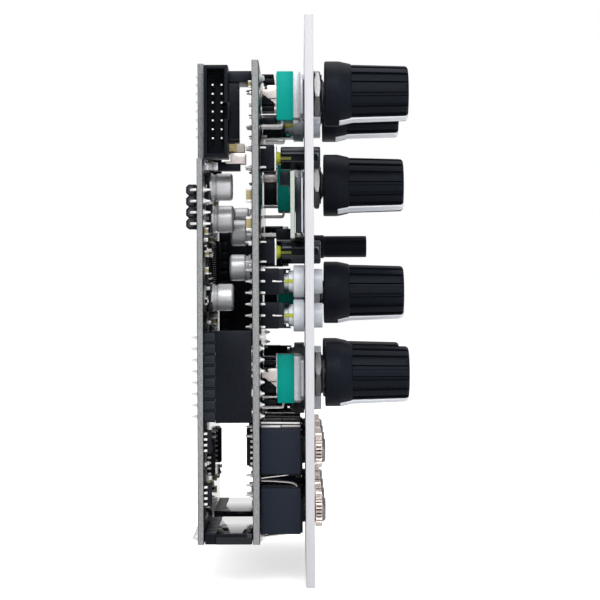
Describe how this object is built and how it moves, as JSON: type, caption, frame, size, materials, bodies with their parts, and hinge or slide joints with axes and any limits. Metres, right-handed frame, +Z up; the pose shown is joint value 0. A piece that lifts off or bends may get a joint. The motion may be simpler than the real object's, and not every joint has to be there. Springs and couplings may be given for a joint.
{
  "type": "eurorack module",
  "caption": "Flat metal front panel with fluted knobs, small buttons, a display window and jack sockets in front, and two stacked circuit boards joined by pin headers behind it.",
  "frame": {"origin": "middle of the front panel's back face, on the lower screw line", "axes": "+Z up along the panel's height, +Y back from the panel towards the boards, +X to the right seen from the front"},
  "size_m": [0.0808, 0.0512, 0.1285],
  "materials": {
    "aluminium": "matte anodised",
    "circuit_board": "satin solder mask",
    "black_plastic": "satin",
    "knob_plastic": "satin",
    "pot_green": "smooth",
    "nickel": "plated",
    "translucent_cap": "translucent",
    "glass": "glossy dark glass"
  },
  "bodies": {
    "module": {"front_panel": "aluminium", "control_board": "circuit_board", "main_board": "circuit_board", "display_board": "circuit_board", "display_screen": "glass", "bottom_left_socket": "black_plastic", "bottom_left_pins": "black_plastic", "bottom_right_socket": "black_plastic", "bottom_right_pins": "black_plastic", "edge_socket": "black_plastic", "edge_pins": "black_plastic", "far_header": "black_plastic", "top_header": "black_plastic", "bus_header": "black_plastic", "rear_header": "black_plastic", "capacitor_upper": "nickel", "capacitor_middle": "nickel", "capacitor_lower": "nickel", "trimmer_body": "black_plastic", "pot_top_left": "pot_green", "nut_top_left": "nickel", "pot_top_right": "pot_green", "nut_top_right": "nickel", "pot_upper_centre": "pot_green", "nut_upper_centre": "nickel", "pot_lower_centre": "pot_green", "nut_lower_centre": "nickel", "pot_bottom_left": "pot_green", "nut_bottom_left": "nickel", "pot_bottom_right": "pot_green", "nut_bottom_right": "nickel", "push_switch_upper": "black_plastic", "push_switch_lower": "black_plastic", "lit_switch_left_upper": "black_plastic", "lit_switch_left_lower": "black_plastic", "lit_switch_centre_top": "black_plastic", "lit_switch_centre_middle": "black_plastic", "lit_switch_centre_bottom": "black_plastic", "jack_1": "black_plastic", "jack_2": "black_plastic", "jack_3": "black_plastic", "jack_4": "black_plastic", "jack_5": "black_plastic", "jack_6": "black_plastic", "jack_7": "black_plastic", "jack_8": "black_plastic"},
    "knob_top_left": {"knob_top_left": "knob_plastic"},
    "knob_top_right": {"knob_top_right": "knob_plastic"},
    "knob_upper_centre": {"knob_upper_centre": "knob_plastic"},
    "knob_lower_centre": {"knob_lower_centre": "knob_plastic"},
    "knob_bottom_left": {"knob_bottom_left": "knob_plastic"},
    "knob_bottom_right": {"knob_bottom_right": "knob_plastic"},
    "trimmer_shaft": {"trimmer_shaft": "black_plastic"},
    "push_cap_upper": {"push_cap_upper": "black_plastic"},
    "push_cap_lower": {"push_cap_lower": "black_plastic"},
    "lit_cap_left_upper": {"lit_cap_left_upper": "translucent_cap"},
    "lit_cap_left_lower": {"lit_cap_left_lower": "translucent_cap"},
    "lit_cap_centre_top": {"lit_cap_centre_top": "translucent_cap"},
    "lit_cap_centre_middle": {"lit_cap_centre_middle": "translucent_cap"},
    "lit_cap_centre_bottom": {"lit_cap_centre_bottom": "translucent_cap"}
  },
  "joints": [
    {"name": "turn_knob_top_left", "type": "hinge", "parent": "module", "child": "knob_top_left", "pos_m": [-0.0205, 0, 0.10995], "axis": [0, 1, 0], "range_deg": [0, 300]},
    {"name": "turn_knob_top_right", "type": "hinge", "parent": "module", "child": "knob_top_right", "pos_m": [0.0205, 0, 0.10995], "axis": [0, 1, 0], "range_deg": [0, 300]},
    {"name": "turn_knob_upper_centre", "type": "hinge", "parent": "module", "child": "knob_upper_centre", "pos_m": [0, 0, 0.08975], "axis": [0, 1, 0], "range_deg": [0, 300]},
    {"name": "turn_knob_lower_centre", "type": "hinge", "parent": "module", "child": "knob_lower_centre", "pos_m": [0, 0, 0.06335], "axis": [0, 1, 0], "range_deg": [0, 300]},
    {"name": "turn_knob_bottom_left", "type": "hinge", "parent": "module", "child": "knob_bottom_left", "pos_m": [-0.0205, 0, 0.04405], "axis": [0, 1, 0], "range_deg": [0, 300]},
    {"name": "turn_knob_bottom_right", "type": "hinge", "parent": "module", "child": "knob_bottom_right", "pos_m": [0.0205, 0, 0.04405], "axis": [0, 1, 0], "range_deg": [0, 300]},
    {"name": "turn_trimmer", "type": "hinge", "parent": "module", "child": "trimmer_shaft", "pos_m": [0.0205, 0, 0.07525], "axis": [0, 1, 0], "range_deg": [0, 300]},
    {"name": "press_push_cap_upper", "type": "slide", "parent": "module", "child": "push_cap_upper", "axis": [0, 1, 0], "range_m": [0, 0.0003], "stiffness_N_per_m": 1000},
    {"name": "press_push_cap_lower", "type": "slide", "parent": "module", "child": "push_cap_lower", "axis": [0, 1, 0], "range_m": [0, 0.0003], "stiffness_N_per_m": 1000},
    {"name": "press_lit_cap_left_upper", "type": "slide", "parent": "module", "child": "lit_cap_left_upper", "axis": [0, 1, 0], "range_m": [0, 0.0005], "stiffness_N_per_m": 800},
    {"name": "press_lit_cap_left_lower", "type": "slide", "parent": "module", "child": "lit_cap_left_lower", "axis": [0, 1, 0], "range_m": [0, 0.0005], "stiffness_N_per_m": 800},
    {"name": "press_lit_cap_centre_top", "type": "slide", "parent": "module", "child": "lit_cap_centre_top", "axis": [0, 1, 0], "range_m": [0, 0.0005], "stiffness_N_per_m": 800},
    {"name": "press_lit_cap_centre_middle", "type": "slide", "parent": "module", "child": "lit_cap_centre_middle", "axis": [0, 1, 0], "range_m": [0, 0.0005], "stiffness_N_per_m": 800},
    {"name": "press_lit_cap_centre_bottom", "type": "slide", "parent": "module", "child": "lit_cap_centre_bottom", "axis": [0, 1, 0], "range_m": [0, 0.0005], "stiffness_N_per_m": 800}
  ]
}
